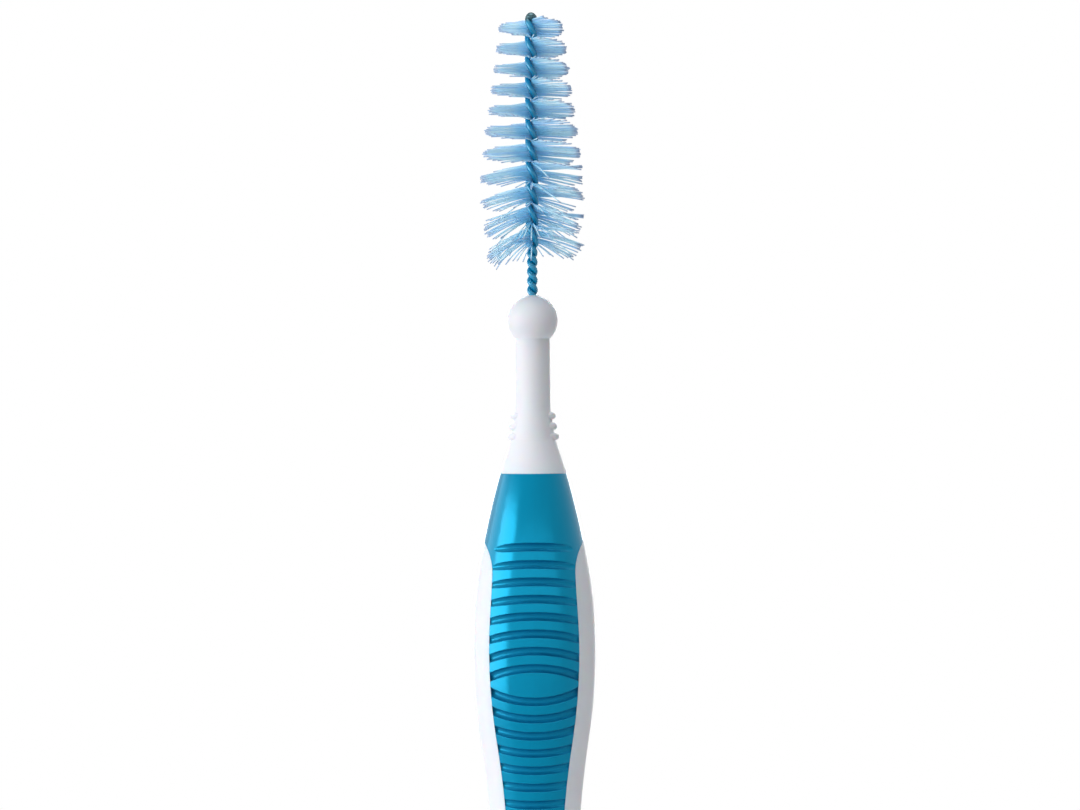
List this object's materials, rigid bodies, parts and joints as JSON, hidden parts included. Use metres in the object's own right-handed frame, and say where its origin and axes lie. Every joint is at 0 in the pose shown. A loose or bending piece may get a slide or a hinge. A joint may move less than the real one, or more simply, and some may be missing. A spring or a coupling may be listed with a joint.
{
  "type": "interdental brush",
  "caption": "Hand-held interdental brush: tapered filament brush on a twisted wire, ball stop and thin neck, and a contoured handle with a grooved soft grip.",
  "frame": {"origin": "on the brush's axis, at the middle of the thumb oval of the soft grip", "axes": "+Z along the wire towards the brush's tip, +X to the right when the front tongue of the grip faces the viewer, -Y towards the viewer"},
  "size_m": [0.0098, 0.008, 0.0916],
  "materials": {
    "white_plastic": "satin moulded polypropylene",
    "grip_rubber": "soft-touch elastomer, satin",
    "coated_wire": "thin coloured plastic coating on steel",
    "bristle_nylon": "clear-tinted nylon filament"
  },
  "bodies": {
    "root": {"handle_core": "white_plastic", "rubber_grip": "grip_rubber", "twisted_wire": "coated_wire", "bristle_row_01": "bristle_nylon", "bristle_row_02": "bristle_nylon", "bristle_row_03": "bristle_nylon", "bristle_row_04": "bristle_nylon", "bristle_row_05": "bristle_nylon", "bristle_row_06": "bristle_nylon", "bristle_row_07": "bristle_nylon", "bristle_row_08": "bristle_nylon", "bristle_row_09": "bristle_nylon", "bristle_row_10": "bristle_nylon", "bristle_row_11": "bristle_nylon"}
  },
  "joints": []
}
